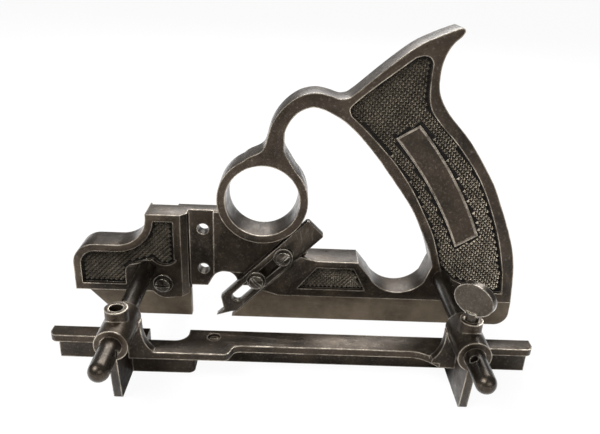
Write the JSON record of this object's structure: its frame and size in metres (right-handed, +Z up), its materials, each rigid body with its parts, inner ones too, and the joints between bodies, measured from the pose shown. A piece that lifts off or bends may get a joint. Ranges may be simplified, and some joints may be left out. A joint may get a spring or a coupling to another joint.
{
  "type": "dado plane",
  "caption": "Cast iron dado plane with a finger ring, a looped pistol handle, a slanted cutter, a depth stop and a fence on two rods",
  "frame": {"origin": "On the sole, half way along the casting, in the middle plane of the skate", "axes": "+X from the toe to the heel, +Y to the right side, away from the fence, +Z up from the sole"},
  "size_m": [0.1908, 0.0965, 0.1283],
  "materials": {
    "cast_iron": "aged dark casting with bright worn edges",
    "tool_steel": "darkened ground steel",
    "screw_steel": "darkened turned steel",
    "rod_steel": "darkened turned steel with rubbed streaks"
  },
  "bodies": {
    "body": {"casting": "cast_iron", "front_rod": "rod_steel", "rear_rod": "rod_steel", "cutter_washers": "screw_steel", "depth_stop_washer": "screw_steel", "depth_stop_nut": "screw_steel"},
    "cutter_body": {"cutter": "tool_steel"},
    "upper_screw": {"upper_cutter_screw": "screw_steel"},
    "lower_screw": {"lower_cutter_screw": "screw_steel"},
    "fence_body": {"fence": "cast_iron"},
    "thumb_screw_body": {"thumb_screw": "screw_steel"},
    "depth_stop_body": {"depth_stop": "tool_steel"},
    "lug_screw": {"depth_stop_screw": "screw_steel"}
  },
  "joints": [
    {"name": "fence_slide", "type": "slide", "parent": "body", "child": "fence_body", "axis": [0, 1, 0], "range_m": [-0.01, 0.025]},
    {"name": "thumb_screw_turn", "type": "hinge", "parent": "fence_body", "child": "thumb_screw_body", "pos_m": [0.0616, -0.0518, 0.0342], "axis": [0, 0, 1], "range_deg": [-180, 180]},
    {"name": "cutter_slide", "type": "slide", "parent": "body", "child": "cutter_body", "axis": [0.6947, 0, 0.7193], "range_m": [-0.0015, 0.008]},
    {"name": "upper_cutter_screw_turn", "type": "hinge", "parent": "body", "child": "upper_screw", "pos_m": [-0.00636, 0, 0.03052], "axis": [0, 1, 0], "range_deg": [-180, 180]},
    {"name": "lower_cutter_screw_turn", "type": "hinge", "parent": "body", "child": "lower_screw", "pos_m": [-0.01775, 0, 0.01873], "axis": [0, 1, 0], "range_deg": [-180, 180]},
    {"name": "depth_stop_slide", "type": "slide", "parent": "body", "child": "depth_stop_body", "axis": [0, 0, 1], "range_m": [-0.0095, 0.0015]},
    {"name": "depth_stop_screw_turn", "type": "hinge", "parent": "body", "child": "lug_screw", "pos_m": [-0.0575, 0, 0.01785], "axis": [0, 1, 0], "range_deg": [-180, 180]}
  ]
}
